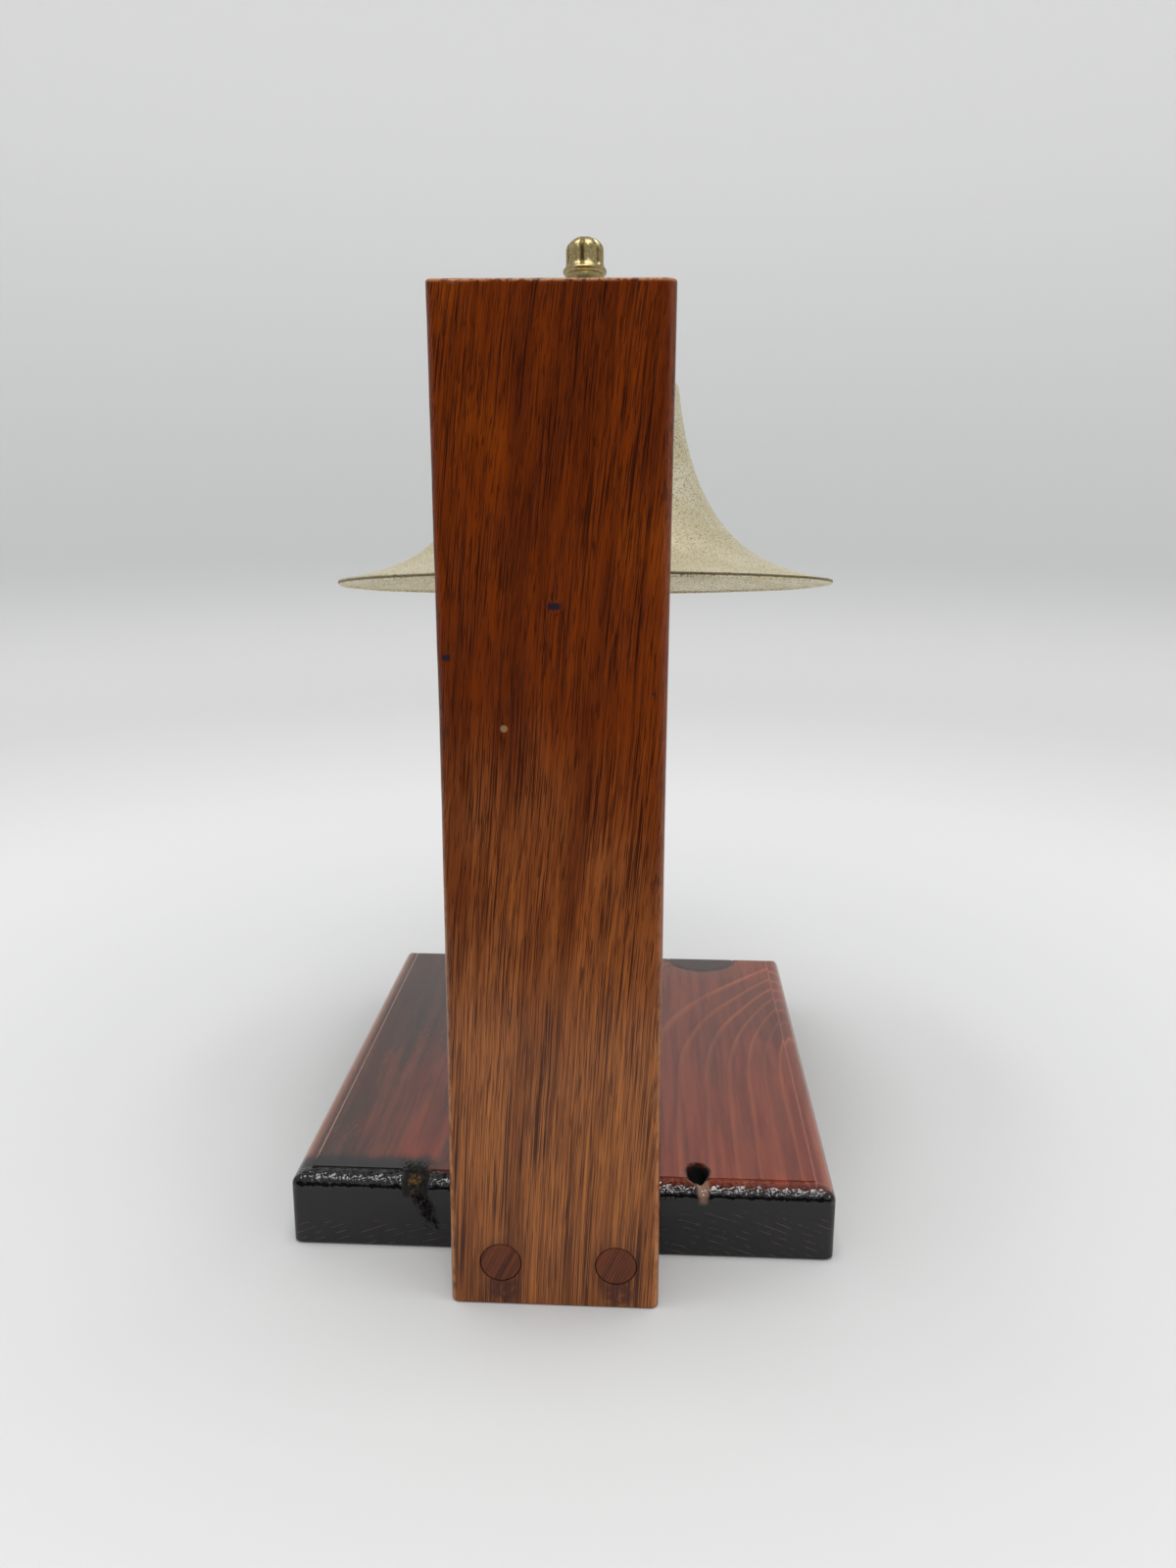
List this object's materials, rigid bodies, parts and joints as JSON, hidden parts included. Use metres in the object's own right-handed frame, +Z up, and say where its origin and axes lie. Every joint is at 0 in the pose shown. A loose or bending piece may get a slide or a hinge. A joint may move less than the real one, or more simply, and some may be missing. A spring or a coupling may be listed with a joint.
{
  "type": "service bell",
  "caption": "Flared brass bell on a wooden stand: upright post and base board, bent bar over the bell, threaded stud with fluted finial, and a swinging clapper.",
  "frame": {"origin": "centre of the base board's underside, on the surface that the bell stands on", "axes": "+Z up along the post, +Y from the post out over the base board, +X to the right as seen from behind the post"},
  "size_m": [0.1863, 0.2368, 0.341],
  "materials": {
    "base_wood": "stained dark red and black, thick gloss lacquer",
    "post_wood": "red-brown open-pored hardwood, satin varnish",
    "plug_wood": "red-brown hardwood cut flush, satin varnish",
    "bell_brass": "pale spun brass, satin, finely pitted",
    "finial_brass": "turned pale brass, worn polish with dark grooves",
    "bar_brass": "rolled flat brass bar, brushed",
    "fastener_steel": "plain zinc-coated screws",
    "clapper_iron": "blackened wire",
    "pad_rubber": "matt black sheet rubber"
  },
  "bodies": {
    "stand": {"base_board": "base_wood", "upright_post": "post_wood", "screw_plug_left": "plug_wood", "screw_plug_right": "plug_wood", "base_screw_left": "fastener_steel", "base_screw_right": "fastener_steel", "hanger_bar": "bar_brass", "bar_screw_top": "fastener_steel", "bar_screw_middle": "fastener_steel", "bar_screw_bottom": "fastener_steel", "bell_shell": "bell_brass", "crown_pad": "pad_rubber", "bar_washer": "bell_brass", "bar_nut": "bell_brass", "finial": "finial_brass", "inner_washer": "bell_brass", "inner_nut": "bell_brass", "eye_bolt": "bell_brass"},
    "link": {"clapper_link": "bell_brass"},
    "clapper": {"clapper_rod": "clapper_iron", "clapper_ball": "bell_brass"}
  },
  "joints": [
    {"name": "link_swing", "type": "hinge", "parent": "stand", "child": "link", "pos_m": [0.00177, 0.00634, 0.26331], "axis": [0, 1, 0], "range_deg": [-18, 18]},
    {"name": "clapper_swing", "type": "hinge", "parent": "link", "child": "clapper", "pos_m": [0.00177, 0.00634, 0.25441], "axis": [1, 0, 0], "range_deg": [-60, 45]}
  ]
}
